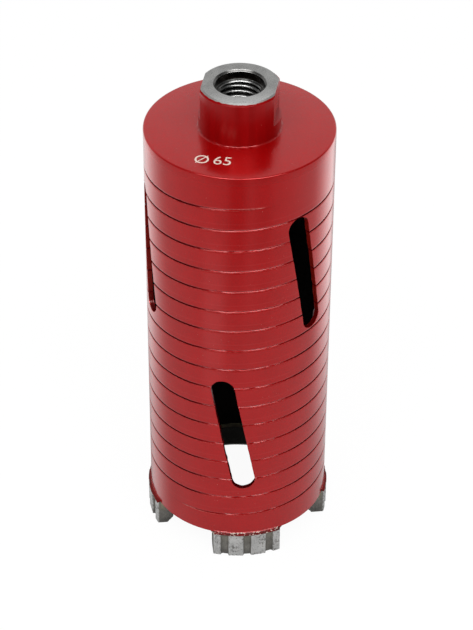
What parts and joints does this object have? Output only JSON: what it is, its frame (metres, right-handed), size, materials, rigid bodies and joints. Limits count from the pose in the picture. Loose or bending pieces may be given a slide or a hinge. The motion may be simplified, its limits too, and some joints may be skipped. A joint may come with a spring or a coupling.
{
  "type": "diamond core bit",
  "caption": "Tube-shaped core bit with a threaded hub, a spirally grooved painted barrel with leaning slots and turbo-toothed cutting segments.",
  "frame": {"origin": "centre of the circle of cutting segments, in the plane of their feet", "axes": "+Z along the bit's axis towards the threaded hub, -Y through the middle of the front segment"},
  "size_m": [0.065, 0.065, 0.1763],
  "materials": {
    "red_paint": "gloss enamel",
    "sintered_segment": "rough sintered bronze and steel matrix"
  },
  "bodies": {
    "root": {"barrel_tube": "red_paint", "end_plate": "red_paint", "threaded_hub": "red_paint", "segment_front": "sintered_segment", "segment_right": "sintered_segment", "segment_back": "sintered_segment", "segment_left": "sintered_segment"}
  },
  "joints": []
}
